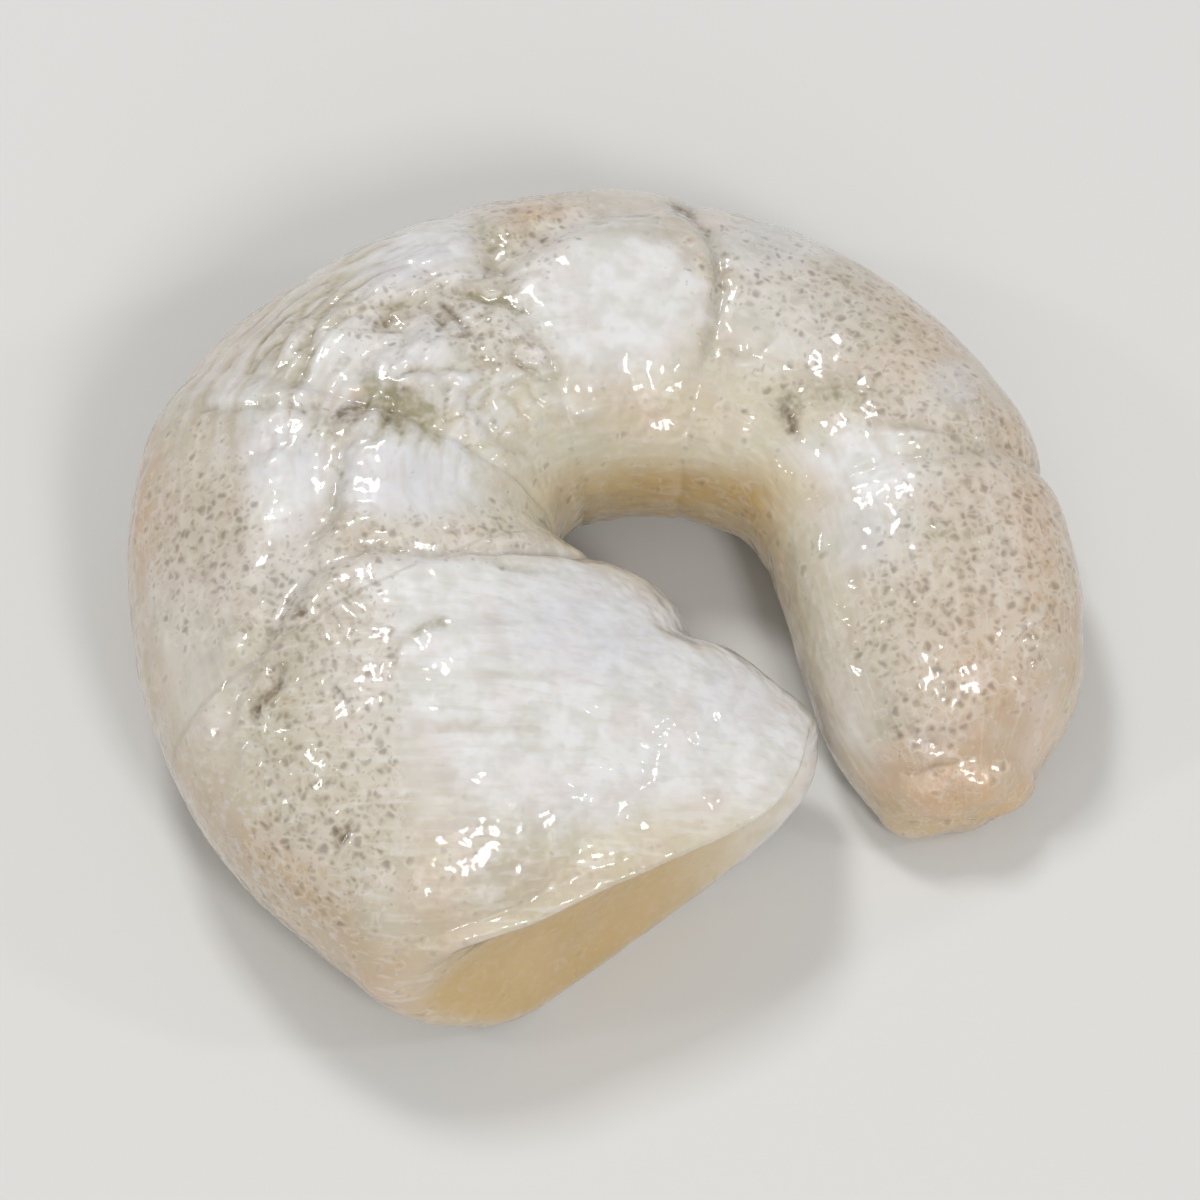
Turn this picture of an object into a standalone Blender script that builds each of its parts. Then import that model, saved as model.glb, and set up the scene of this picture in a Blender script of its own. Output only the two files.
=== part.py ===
"""Raw peeled tiger prawn, curled and lying on its side: one closed piece of meat without head, shell or tail fan.

The body is a run of sections along a curled middle line, from the head cut to the tail end. A section's angle
is 0 at the outside of the curl, 90 at the top, 180 at the inside of the curl and 270 underneath.
Sizes are millimetres. The model is in metres with +Z up, standing on z = 0.
"""
import math

import bmesh
import bpy
import numpy as np

MM = 0.001
OBJECT_NAME = "raw_tiger_prawn"
MEAT_NODE = "prawn_meat"
MEAT_COLOUR = "#D0C8B8"
MEAT_ROUGHNESS = 0.3

# Sections from the head cut to the tail: x and y of the middle, then the reach to the outside of the curl,
# the reach to its inside, and half the thickness.
SECTIONS = (
    (0.1, -21.0, 12.8, 15.3, 6.8),
    (-5.6, -15.2, 13.9, 13.2, 8.3),
    (-11.2, -8.9, 13.5, 11.6, 8.8),
    (-13.4, -3.4, 12.2, 11.0, 8.9),
    (-13.0, 2.2, 11.7, 11.0, 8.9),
    (-10.4, 7.0, 9.6, 10.9, 8.6),
    (-5.6, 10.6, 8.8, 10.4, 8.1),
    (0.8, 12.0, 8.7, 9.8, 7.6),
    (7.8, 10.8, 8.5, 9.0, 7.0),
    (14.2, 6.4, 8.1, 8.2, 6.6),
    (17.4, -0.6, 8.3, 8.0, 6.3),
    (18.5, -7.4, 7.8, 7.4, 5.7),
    (18.9, -11.4, 6.3, 6.0, 4.6),
    (19.3, -13.6, 4.3, 4.5, 3.4),
)
FULLNESS = 0.92               # under 1 makes the sections fuller than ellipses
SINK = 0.55                   # how far the soft meat settles where it rests

# Creases between the segments: length along the middle at the top, how much nearer the head cut it is at the
# inside and at the outside of the curl, then its depth at the top, at the inside and at the outside.
CREASES = (
    (19.4, 7.0, 1.0, 0.30, 0.45, 0.10),
    (28.6, 1.0, -0.6, 0.35, 0.15, 0.15),
    (40.6, -1.0, 1.0, 0.22, 0.08, 0.12),
    (52.2, -0.6, 3.0, 0.24, 0.08, 0.16),
    (66.3, 0.2, -0.8, 0.25, 0.08, 0.35),
)
CREASE_WIDTH = 0.9
SWELL = 0.5                   # rise before a crease, as a share of its depth

# The slit along the back, where the vein was taken out: length along the middle and angle round the section.
SLIT_PATH = ((14.5, 22.0), (18.0, 66.0), (22.0, 84.0), (29.0, 84.0), (38.0, 88.0), (44.0, 70.0), (50.0, 44.0))
SLIT_WIDTH = 1.2
SLIT_DEPTH = 0.45

# The smooth rounded pad on the fourth segment: middle along the body, angle, half length, half width, height.
PAD = (47.0, 96.0, 5.0, 4.6, 0.45)

# The step at the inside of the curl between the smooth flap and the lobe: its angle and half width in degrees,
# then length along the middle, height and half length of the flap's swell and of the nick beside it.
STEP_ANGLE = 165.0
STEP_REACH = 28.0
FLAP_SWELL = (9.4, 0.35, 2.0)
NICK = (5.9, -0.75, 1.1)

# The head cut: its edge runs out to a lobe at the inside of the curl, and its face is nearly flat. The edge is
# given as how far it lies behind the end of the body at some angles.
CUT_EDGE = ((0, 0.5), (50, 0.5), (85, -1.4), (110, -3.4), (135, -3.6), (155, -1.8), (175, -0.6), (205, -1.6),
            (240, -1.2), (280, 0.0), (320, 0.3))
CUT_REACH = 26.0              # length of body over which the edge's shape fades out
CORNER_ROUND = 3.4            # how far the outside corner of the cut is rounded back
CORNER_FROM = 0.45            # share of the reach to the outside at which the rounding starts
CORNER_REACH = 9.0
ROLL_DEPTH = 1.9              # how far the upper skin rolls down to the cut, and over what length
ROLL_REACH = 5.0
CUT_RIM = (0.25, 0.50, 0.70, 0.84, 0.93, 0.98)    # rings from the middle of the cut out to its rounded edge
CUT_STEP = (-0.2, -0.4, -0.8, -1.15, -1.1, -0.65)     # how far each lies behind the end of the body

# The tail end: a blunt torn edge.
TAIL_RIM = (0.88, 0.68, 0.44, 0.20)
TAIL_STEP = (0.8, 1.4, 1.7, 1.8)
TAIL_RAGGED = 0.45

BODY_RINGS = 80
AROUND = 48


def natural_spline(knots, values, at):
    """Read a natural cubic spline through the values at the knots."""
    x, y = np.asarray(knots, float), np.asarray(values, float)
    count = len(x)
    gap = np.diff(x)
    matrix = np.zeros((count, count))
    right = np.zeros(count)
    matrix[0, 0] = matrix[-1, -1] = 1.0
    for i in range(1, count - 1):
        matrix[i, i - 1:i + 2] = gap[i - 1], 2 * (gap[i - 1] + gap[i]), gap[i]
        right[i] = 6 * ((y[i + 1] - y[i]) / gap[i] - (y[i] - y[i - 1]) / gap[i - 1])
    bend = np.linalg.solve(matrix, right)
    at = np.clip(at, x[0], x[-1])
    i = np.clip(np.searchsorted(x, at) - 1, 0, count - 2)
    a = (x[i + 1] - at) / gap[i]
    b = (at - x[i]) / gap[i]
    curve = ((a ** 3 - a) * bend[i] + (b ** 3 - b) * bend[i + 1]) * gap[i] ** 2 / 6
    return a * y[i] + b * y[i + 1] + curve


class Body:
    """The curled middle line with the size of the section at each length."""

    def __init__(self, sections, steps=2401):
        table = np.array(sections)
        knots = np.concatenate([[0.0], np.cumsum(np.hypot(np.diff(table[:, 0]), np.diff(table[:, 1])))])
        t = np.linspace(0.0, knots[-1], steps)
        self.x, self.y, self.outer, self.inner, self.half = (natural_spline(knots, table[:, k], t) for k in range(5))
        self.s = np.concatenate([[0.0], np.cumsum(np.hypot(np.diff(self.x), np.diff(self.y)))])
        self.turn = np.unwrap(np.arctan2(np.gradient(self.y, self.s), np.gradient(self.x, self.s)))
        self.length = float(self.s[-1])

    def read(self, values, s):
        """Read one of the tables at a length, held at its end values."""
        return float(np.interp(s, self.s, values))


def bump(distance, width):
    """A smooth hill of height 1."""
    return math.exp(-(distance / width) ** 2)


def fuller(value):
    """Raise a sine or cosine to the power of the section's fullness, keeping its sign."""
    return math.copysign(abs(value) ** FULLNESS, value)


def slit_angle(s):
    """Angle of the slit in degrees at a length along the body."""
    lengths, angles = zip(*SLIT_PATH)
    return float(np.interp(s, lengths, angles))


def crease_position(crease, angle):
    """Length along the body at which a crease crosses an angle."""
    side = math.cos(math.radians(angle))
    return crease[0] - crease[1] * max(0.0, -side) - crease[2] * max(0.0, side)


def rise(value, low, high):
    """Rise smoothly from 0 at low to 1 at high."""
    t = max(0.0, min(1.0, (value - low) / (high - low)))
    return t * t * (3.0 - 2.0 * t)


def crease_depth(crease, angle):
    """Depth of a crease at an angle."""
    side = math.cos(math.radians(angle))
    inward, outward = rise(-side, 0.1, 0.8), rise(side, 0.1, 0.8)
    return crease[3] + inward * (crease[4] - crease[3]) + outward * (crease[5] - crease[3])


def relief(s, angle, height):
    """How far the surface stands out at a point, from the creases, the slit and the pad."""
    out = 0.0
    for crease in CREASES:
        ahead = s - crease_position(crease, angle)
        depth = crease_depth(crease, angle)
        out -= depth * bump(ahead, CREASE_WIDTH)
        if ahead < 0:
            out += depth * SWELL * bump(ahead + 2.4, 2.2)
    first, last = SLIT_PATH[0][0], SLIT_PATH[-1][0]
    if first <= s <= last:
        ends = min(1.0, (s - first) / 4.0, (last - s) / 4.0)
        side = math.radians(angle - slit_angle(s)) * height
        out -= SLIT_DEPTH * ends * bump(side, SLIT_WIDTH)
        out += 0.4 * SLIT_DEPTH * ends * bump(abs(side) - 2.6, 1.6)
    along, pad_angle, half_length, half_width, pad_height = PAD
    across = math.radians(angle - pad_angle) * height
    out += pad_height * math.exp(-((s - along) / half_length) ** 4 - (across / half_width) ** 4)
    for at, step_height, step_length in (FLAP_SWELL, NICK):
        out += bump(angle - STEP_ANGLE, STEP_REACH) * step_height * bump(s - at, step_length)
    return out


def cut_edge(angle):
    """How far the edge of the head cut lies behind the end of the body at an angle, smooth all the way round."""
    lapped = [(a + 360.0 * lap, shift) for lap in (-1, 0, 1) for a, shift in CUT_EDGE]
    near = lapped[len(CUT_EDGE) - 3:2 * len(CUT_EDGE) + 3]
    angles, shifts = zip(*near)
    return float(natural_spline(angles, shifts, angle))


def cut_shift(s, angle):
    """How far a ring near the head cut is moved along the body at an angle."""
    fade = max(0.0, 1.0 - s / CUT_REACH) ** 2
    side = math.cos(math.radians(angle))
    corner = CORNER_ROUND * (max(0.0, side - CORNER_FROM) / (1.0 - CORNER_FROM)) ** 2
    return fade * cut_edge(angle) + corner * max(0.0, 1.0 - s / CORNER_REACH) ** 2


def surface(body, ring_s, angle, shrink=1.0, step=0.0):
    """A point of the skin for the ring at ring_s, drawn in by shrink and moved on along the body by step."""
    s = ring_s + cut_shift(ring_s, angle) * shrink ** 1.5
    inside = min(max(s, 0.0), body.length)
    turn = body.read(body.turn, inside)
    reach = body.read(body.outer if abs(angle - 180.0) > 90.0 else body.inner, inside)
    half = body.read(body.half, inside)
    swell = relief(s, angle, 0.5 * (reach + half))
    swell -= ROLL_DEPTH * max(0.0, 1.0 - ring_s / ROLL_REACH) ** 2 * max(0.0, math.sin(math.radians(angle)))
    c, q = fuller(math.cos(math.radians(angle))), fuller(math.sin(math.radians(angle)))
    across = (reach + swell) * c * shrink
    up = half - SINK + (half + swell) * q * shrink
    along = s - inside + step
    x = body.read(body.x, inside) + along * math.cos(turn) - across * math.sin(turn)
    y = body.read(body.y, inside) + along * math.sin(turn) + across * math.cos(turn)
    return x, y, max(up, 0.0)


def rings(body):
    """The rings of the skin from the middle of the head cut to the tail end: length, shrink and step."""
    head = [(0.0, shrink, step) for shrink, step in zip(CUT_RIM, CUT_STEP)]
    trunk = [(body.length * k / (BODY_RINGS - 1), 1.0, 0.0) for k in range(BODY_RINGS)]
    tail = [(body.length, shrink, step) for shrink, step in zip(TAIL_RIM, TAIL_STEP)]
    return head + trunk + tail


def ragged(angle):
    """How far the torn edge of the tail stands out at an angle."""
    a = math.radians(angle)
    return TAIL_RAGGED * (0.6 * math.sin(2 * a + 0.6) + 0.4 * math.sin(5 * a + 2.0))


def build_meat(body, collection):
    """Loft the meat by laying the rings of a ball along the body."""
    plan = rings(body)
    bm = bmesh.new()
    bmesh.ops.create_uvsphere(bm, u_segments=AROUND, v_segments=len(plan) + 1, radius=1.0)
    head_s, _, head_step = plan[0]
    tail_s, _, tail_step = plan[-1]
    for vert in bm.verts:
        polar = math.acos(max(-1.0, min(1.0, vert.co.z)))
        ring = round(polar / math.pi * (len(plan) + 1))
        angle = math.degrees(math.atan2(vert.co.y, vert.co.x)) % 360.0
        if ring == 0:
            point = surface(body, head_s, 0.0, 0.0, head_step + 0.05)
        elif ring == len(plan) + 1:
            point = surface(body, tail_s, 0.0, 0.0, tail_step)
        else:
            ring_s, shrink, step = plan[ring - 1]
            if step > 0 and ring_s > 0:
                step += ragged(angle) * shrink
            point = surface(body, ring_s, angle, shrink, step)
        vert.co = point
    if bm.calc_volume(signed=True) < 0:
        bmesh.ops.reverse_faces(bm, faces=bm.faces[:])
    low = [min(vert.co[i] for vert in bm.verts) for i in range(3)]
    high = [max(vert.co[i] for vert in bm.verts) for i in range(3)]
    for vert in bm.verts:
        vert.co.x = (vert.co.x - 0.5 * (low[0] + high[0])) * MM
        vert.co.y = (vert.co.y - 0.5 * (low[1] + high[1])) * MM
        vert.co.z = vert.co.z * MM
    mesh = bpy.data.meshes.new(MEAT_NODE)
    bm.to_mesh(mesh)
    bm.free()
    mesh.shade_smooth()
    meat = bpy.data.objects.new(MEAT_NODE, mesh)
    collection.objects.link(meat)
    return meat


def srgb_to_linear(colour):
    """Turn a hex colour into linear red, green, blue and alpha."""
    channels = [int(colour[i:i + 2], 16) / 255.0 for i in (1, 3, 5)]
    return [c / 12.92 if c <= 0.04045 else ((c + 0.055) / 1.055) ** 2.4 for c in channels] + [1.0]


def meat_material():
    """Raw prawn meat: milky, wet and unpigmented but for fine specks."""
    material = bpy.data.materials.new("raw_prawn_meat")
    material.use_nodes = True
    shader = material.node_tree.nodes["Principled BSDF"]
    shader.inputs["Base Color"].default_value = srgb_to_linear(MEAT_COLOUR)
    shader.inputs["Roughness"].default_value = MEAT_ROUGHNESS
    shader.inputs["Metallic"].default_value = 0.0
    return material


def main():
    """Clear the scene and build the prawn."""
    for obj in list(bpy.data.objects):
        bpy.data.objects.remove(obj, do_unlink=True)
    collection = bpy.data.collections.new(OBJECT_NAME)
    bpy.context.scene.collection.children.link(collection)
    body = Body(SECTIONS)
    meat = build_meat(body, collection)
    meat.data.materials.append(meat_material())


main()
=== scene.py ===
"""Raw peeled tiger prawn, lying curled on its side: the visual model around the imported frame.

The meat is one piece of wet, milky flesh. Its sections follow the same curled middle line as the CAD solid, and
this script adds what the eye sees on it: creases, the slit back with its torn folds, the smooth pads of the
segments, muscle fibres, specks, stains and the wet film.
"""
import logging
import math
from collections.abc import Iterator
from dataclasses import dataclass, field
from enum import Enum
from itertools import product

import bmesh
import bpy
import numpy as np
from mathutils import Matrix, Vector


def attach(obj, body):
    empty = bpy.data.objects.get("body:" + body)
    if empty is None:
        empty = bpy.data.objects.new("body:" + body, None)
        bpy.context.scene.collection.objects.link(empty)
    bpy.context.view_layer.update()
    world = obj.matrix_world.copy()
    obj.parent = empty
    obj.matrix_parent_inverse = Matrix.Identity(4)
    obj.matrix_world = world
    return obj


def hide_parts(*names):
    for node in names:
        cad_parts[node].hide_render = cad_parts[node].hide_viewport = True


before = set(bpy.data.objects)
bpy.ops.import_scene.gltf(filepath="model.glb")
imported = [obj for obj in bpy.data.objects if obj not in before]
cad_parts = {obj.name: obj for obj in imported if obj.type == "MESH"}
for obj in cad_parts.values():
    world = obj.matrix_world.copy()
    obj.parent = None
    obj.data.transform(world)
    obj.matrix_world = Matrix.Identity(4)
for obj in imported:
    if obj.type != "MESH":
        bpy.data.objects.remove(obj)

LOG = logging.getLogger("prawn")
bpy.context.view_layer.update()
MM = 0.001

# The photograph as a map of the shown side: size of a pixel on the prawn, the pixel that lies on the origin of
# the section table's plan, how far the camera looks down, and the side of the window that the camera frames.
PIXEL = 0.25
ORIGIN_PX = (650.0, 618.0)
VIEW_DOWN = 60.0
WINDOW_PX = 260.0
# Middle of the CAD solid's box in the plan of the section table.
PLAN_MIDDLE = (0.3360, -3.6013)

Points = tuple[tuple[float, float], ...]


def srgb(colour: str) -> tuple[float, float, float, float]:
    """Turn an sRGB hex colour into linear red, green, blue and alpha."""
    channels = [int(colour[i:i + 2], 16) / 255.0 for i in (1, 3, 5)]
    linear = [c / 12.92 if c <= 0.04045 else ((c + 0.055) / 1.055) ** 2.4 for c in channels]
    return linear[0], linear[1], linear[2], 1.0


def bump(distance: np.ndarray, width: float) -> np.ndarray:
    """A smooth hill of height 1 and the given half width."""
    return np.exp(-(distance / width) ** 2)


def smooth(value: np.ndarray, low: float, high: float) -> np.ndarray:
    """Rise smoothly from 0 at low to 1 at high; high may be the smaller one."""
    t = np.clip((value - low) / (high - low), 0.0, 1.0)
    return t * t * (3.0 - 2.0 * t)


def natural_spline(knots: np.ndarray, values: np.ndarray, at: np.ndarray) -> np.ndarray:
    """Read a natural cubic spline.

    Args:
        knots: rising positions of the values.
        values: one value for each knot.
        at: positions to read, held inside the knots.

    Returns:
        The spline's values there.
    """
    x, y = np.asarray(knots, float), np.asarray(values, float)
    count = len(x)
    gap = np.diff(x)
    matrix = np.zeros((count, count))
    right = np.zeros(count)
    matrix[0, 0] = matrix[-1, -1] = 1.0
    for i in range(1, count - 1):
        matrix[i, i - 1:i + 2] = gap[i - 1], 2 * (gap[i - 1] + gap[i]), gap[i]
        right[i] = 6 * ((y[i + 1] - y[i]) / gap[i] - (y[i] - y[i - 1]) / gap[i - 1])
    bend = np.linalg.solve(matrix, right)
    at = np.clip(at, x[0], x[-1])
    i = np.clip(np.searchsorted(x, at) - 1, 0, count - 2)
    a = (x[i + 1] - at) / gap[i]
    b = (at - x[i]) / gap[i]
    curve = ((a ** 3 - a) * bend[i] + (b ** 3 - b) * bend[i + 1]) * gap[i] ** 2 / 6
    return a * y[i] + b * y[i + 1] + curve


def lattice_noise(points: np.ndarray, seed: int) -> np.ndarray:
    """Smooth gradient noise with lumps about one unit wide.

    Args:
        points: where to read it.
        seed: which noise it is.

    Returns:
        A value from about -1 to 1 for each point.
    """
    cell = np.floor(points).astype(np.int64)
    part = points - cell
    ease = part ** 3 * (part * (part * 6.0 - 15.0) + 10.0)
    out = np.zeros(len(points))
    for corner in product((0, 1), repeat=3):
        at = cell + np.array(corner)
        mixed = (at[:, 0] * 73856093) ^ (at[:, 1] * 19349663) ^ (at[:, 2] * 83492791) ^ (seed * 2654435761)
        pull = np.zeros(len(points))
        for axis in range(3):
            mixed = (mixed * 1103515245 + 12345) & 0x7FFFFFFF
            pull += (mixed / 0x3FFFFFFF - 1.0) * (part[:, axis] - corner[axis])
        out += pull * np.prod(np.where(np.array(corner) == 1, ease, 1.0 - ease), axis=1)
    return 1.6 * out


class Tint(Enum):
    """What a place on the meat looks like, each one an attribute of its mesh from 0 to 1."""

    # Milky white is also painted highlight where a few glints and a glare lie.
    MILK_AND_SHEEN = "milk_and_sheen"          # opaque, milky white muscle
    # The violet cast is also painted bluish glare in two places.
    LAVENDER_AND_GLARE = "lavender_and_glare"  # the cool, faintly violet cast of the smoothest white meat
    # Clearer yellowish meat is also painted warm glow underneath and on the inside of the curl.
    CLEAR = "clear"        # clearer, yellowish meat
    SPECK = "speck"        # how many dark specks
    STAIN = "stain"        # brown rests of the vein
    # This dull green is also painted shade in the creases, partly over real greenish-brown specks, and in one hollow
    # of the slit.
    OLIVE_AND_SHADE = "olive_and_shade"        # thin olive rests of the vein
    # Pinkish is also painted warm shade along the outer rims, the underside and the tail's end.
    PEACH_AND_RIM_SHADE = "peach_and_rim_shade"        # pinkish, thin outer meat
    # Tan is painted warm shade: on the shaded cut face, deep inside the curl, along the outer rims and at the tail's
    # end.
    TAN = "tan"            # cut meat and the deep inside of the curl
    FIBRE = "fibre"        # how much the muscle fibres show


MILK_AND_SHEEN, LAVENDER_AND_GLARE, CLEAR, SPECK, STAIN, OLIVE_AND_SHADE, PEACH_AND_RIM_SHADE, TAN, FIBRE = Tint


@dataclass(frozen=True)
class Crease:
    """A crease between two segments, in millimetres.

    Attributes:
        at: length along the middle line where it crosses the top.
        lean_in: how much nearer the head cut it is at the inside of the curl.
        lean_out: the same at the outside of the curl.
        depth: how deep it is at the top.
        depth_in: how deep it is at the inside of the curl.
        depth_out: how deep it is at the outside of the curl.
    """

    at: float
    lean_in: float
    lean_out: float
    depth: float
    depth_in: float
    depth_out: float


@dataclass(frozen=True)
class Fold:
    """A ridge or furrow that the photograph shows.

    Attributes:
        path: its points in pixels of the photograph.
        width: half width in millimetres.
        height: how far it stands out in millimetres, negative for a furrow.
        tint: the look that it has.
        strength: how strong that look is.
    """

    path: Points
    width: float
    height: float
    tint: Tint = STAIN
    strength: float = 0.0


@dataclass(frozen=True)
class Patch:
    """An oval place with its own look.

    Attributes:
        tint: which look it has.
        centre: its middle in pixels of the photograph.
        reach: half length and half width in pixels.
        turn: angle of its length above the picture's horizontal, in degrees.
        strength: how strong the look is, negative to take it away.
        edge: how soft its edge is, from 0 for crisp to 1.
        rough: how uneven its outline is.
    """

    tint: Tint
    centre: tuple[float, float]
    reach: tuple[float, float]
    turn: float = 0.0
    strength: float = 1.0
    edge: float = 0.35
    rough: float = 0.35


@dataclass(frozen=True)
class MiddleLine:
    """The curled middle line of the prawn, with the size of the section at each length.

    Attributes:
        sections: x and y of the middle, the reach to the outside of the curl, the reach to its inside, and half
            the thickness, from the head cut to the tail, in millimetres.
        steps: how finely the splines are read.
    """

    sections: tuple[tuple[float, float, float, float, float], ...] = (
        (0.1, -21.0, 12.8, 15.3, 6.8),
        (-5.6, -15.2, 13.9, 13.2, 8.3),
        (-11.2, -8.9, 13.5, 11.6, 8.8),
        (-13.4, -3.4, 12.2, 11.0, 8.9),
        (-13.0, 2.2, 11.7, 11.0, 8.9),
        (-10.4, 7.0, 9.6, 10.9, 8.6),
        (-5.6, 10.6, 8.8, 10.4, 8.1),
        (0.8, 12.0, 8.7, 9.8, 7.6),
        (7.8, 10.8, 8.5, 9.0, 7.0),
        (14.2, 6.4, 8.1, 8.2, 6.6),
        (17.4, -0.6, 8.3, 8.0, 6.3),
        (18.5, -7.4, 7.8, 7.4, 5.7),
        (18.9, -11.4, 6.3, 6.0, 4.6),
        (19.3, -13.6, 4.3, 4.5, 3.4),
    )
    steps: int = 2401

    def tables(self) -> dict[str, np.ndarray]:
        """Work out the line and its sizes.

        Returns:
            Arrays by name: s, x, y, outer, inner, half and turn, all by length along the line.
        """
        table = np.array(self.sections)
        knots = np.concatenate([[0.0], np.cumsum(np.hypot(np.diff(table[:, 0]), np.diff(table[:, 1])))])
        t = np.linspace(0.0, knots[-1], self.steps)
        names = ("x", "y", "outer", "inner", "half")
        out = {name: natural_spline(knots, table[:, k], t) for k, name in enumerate(names)}
        out["s"] = np.concatenate([[0.0], np.cumsum(np.hypot(np.diff(out["x"]), np.diff(out["y"])))])
        out["turn"] = np.unwrap(np.arctan2(np.gradient(out["y"], out["s"]), np.gradient(out["x"], out["s"])))
        return out


@dataclass
class PrawnMeat:
    """The whole prawn as one closed piece of meat; sizes are millimetres.

    Angles round a section are 0 at the outside of the curl, 90 at the top, 180 at its inside and 270 underneath.
    """

    line: MiddleLine = field(default_factory=MiddleLine)
    fullness: float = 0.92                # under 1 makes sections fuller than ellipses
    sink: float = 0.55                    # how far the soft meat settles where it rests
    creases: tuple[Crease, ...] = (
        Crease(19.4, 7.0, 1.0, 0.30, 0.45, 0.10),
        Crease(28.6, 1.0, -0.6, 0.35, 0.15, 0.15),
        Crease(40.6, -1.0, 1.0, 0.22, 0.08, 0.12),
        Crease(52.2, -0.6, 3.0, 0.24, 0.08, 0.16),
        Crease(66.3, 0.2, -0.8, 0.25, 0.08, 0.35),
    )
    crease_width: float = 0.9
    swell: float = 0.5                    # rise before a crease, as a share of its depth
    slit_path: Points = ((14.5, 22.0), (18.0, 66.0), (22.0, 84.0), (29.0, 84.0), (38.0, 88.0), (44.0, 70.0),
                         (50.0, 44.0))
    slit_width: float = 1.2
    slit_depth: float = 0.45
    pad: tuple[float, float, float, float, float] = (47.0, 96.0, 5.0, 4.6, 0.45)
    cut_edge: Points = ((0, 0.5), (50, 0.5), (85, -1.4), (110, -3.4), (135, -3.6), (155, -1.8), (175, -0.6),
                        (205, -1.6), (240, -1.2), (280, 0.0), (320, 0.3))
    cut_reach: float = 26.0
    corner_round: float = 3.4
    corner_from: float = 0.45
    corner_reach: float = 9.0
    roll: tuple[float, float] = (1.9, 5.0)    # how far the upper skin rolls down to the cut, over what length
    cut_rim: tuple[float, ...] = (0.0, 0.25, 0.50, 0.70, 0.84, 0.93, 0.98, 1.0)
    cut_step: tuple[float, ...] = (-0.15, -0.2, -0.4, -0.8, -1.15, -1.1, -0.65, 0.0)
    step_angle: float = 165.0             # the step between the smooth flap and the lobe: angle and half width
    step_reach: float = 28.0
    step_parts: tuple[tuple[float, float, float], ...] = ((9.4, 0.35, 2.0), (5.9, -0.75, 1.1))
    tail_rim: tuple[float, ...] = (1.0, 0.88, 0.68, 0.44, 0.20, 0.0)
    tail_step: tuple[float, ...] = (0.0, 0.8, 1.4, 1.7, 1.8, 1.8)
    tail_ragged: float = 0.45
    around: int = 208
    cut_rings: int = 30
    body_rings: int = 396
    tail_rings: int = 16
    crowd_top: float = 0.45               # how much closer the points lie at the top than underneath

    def rings(self) -> tuple[np.ndarray, np.ndarray, np.ndarray]:
        """Lay out the rings between the two poles.

        Returns:
            Length along the middle, shrink and step of each ring.
        """
        length = float(self.table["s"][-1])
        cut = np.linspace(0.0, len(self.cut_rim) - 1, self.cut_rings + 1)
        cut_at = np.arange(len(self.cut_rim), dtype=float)
        tail = np.linspace(0.0, len(self.tail_rim) - 1, self.tail_rings + 1)
        tail_at = np.arange(len(self.tail_rim), dtype=float)
        s = np.concatenate([np.zeros(self.cut_rings), np.linspace(0.0, length, self.body_rings),
                            np.full(self.tail_rings, length)])
        shrink = np.concatenate([natural_spline(cut_at, self.cut_rim, cut)[:-1], np.ones(self.body_rings),
                                 natural_spline(tail_at, self.tail_rim, tail)[1:]])
        step = np.concatenate([natural_spline(cut_at, self.cut_step, cut)[:-1], np.zeros(self.body_rings),
                               natural_spline(tail_at, self.tail_step, tail)[1:]])
        return s, np.clip(shrink, 0.0, 1.0), step

    def cut_shift(self, s: np.ndarray, angle: np.ndarray) -> np.ndarray:
        """How far a point near the head cut moves along the body, for the lobed edge with its round corner."""
        angles, shifts = zip(*self.cut_edge)
        turn = len(angles)
        knots = np.array([a + 360.0 * lap for lap in (-1, 0, 1) for a in angles])
        edge = natural_spline(knots[turn - 3:2 * turn + 3], np.tile(shifts, 3)[turn - 3:2 * turn + 3],
                              np.degrees(angle))
        fade = np.clip(1.0 - s / self.cut_reach, 0.0, 1.0) ** 2
        corner = self.corner_round * (np.maximum(0.0, np.cos(angle) - self.corner_from)
                                      / (1.0 - self.corner_from)) ** 2
        return fade * edge + corner * np.clip(1.0 - s / self.corner_reach, 0.0, 1.0) ** 2

    def crease_gap(self, crease: Crease, s: np.ndarray, angle: np.ndarray) -> np.ndarray:
        """Distance past a crease along the body."""
        side = np.cos(angle)
        return s - (crease.at - crease.lean_in * np.maximum(0.0, -side) - crease.lean_out * np.maximum(0.0, side))

    def crease_depth(self, crease: Crease, angle: np.ndarray) -> np.ndarray:
        """Depth of a crease round the section."""
        side = np.cos(angle)
        inward, outward = smooth(-side, 0.1, 0.8), smooth(side, 0.1, 0.8)
        return crease.depth + inward * (crease.depth_in - crease.depth) + outward * (crease.depth_out - crease.depth)

    def relief(self, s: np.ndarray, angle: np.ndarray, reach: np.ndarray) -> np.ndarray:
        """How far the skin stands out by the creases, the slit and the pad, as on the CAD solid.

        Args:
            s: length along the middle line.
            angle: angle round the section, in radians.
            reach: mean half size of the section.

        Returns:
            Millimetres along the section's radius.
        """
        out = np.zeros_like(s)
        for crease in self.creases:
            gap = self.crease_gap(crease, s, angle)
            depth = self.crease_depth(crease, angle)
            out -= depth * bump(gap, self.crease_width)
            out += np.where(gap < 0, depth * self.swell * bump(gap + 2.4, 2.2), 0.0)
        lengths, angles = zip(*self.slit_path)
        ends = np.clip(np.minimum((s - lengths[0]) / 4.0, (lengths[-1] - s) / 4.0), 0.0, 1.0)
        side = (angle - np.radians(np.interp(s, lengths, angles))) * reach
        out -= self.slit_depth * ends * bump(side, self.slit_width)
        out += 0.4 * self.slit_depth * ends * bump(np.abs(side) - 2.6, 1.6)
        along, pad_angle, half_length, half_width, height = self.pad
        across = (angle - math.radians(pad_angle)) * reach
        out += height * np.exp(-((s - along) / half_length) ** 4 - (across / half_width) ** 4)
        beside = bump(np.degrees(angle) - self.step_angle, self.step_reach)
        for at, step_height, step_length in self.step_parts:
            out += beside * step_height * bump(s - at, step_length)
        return out

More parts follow.
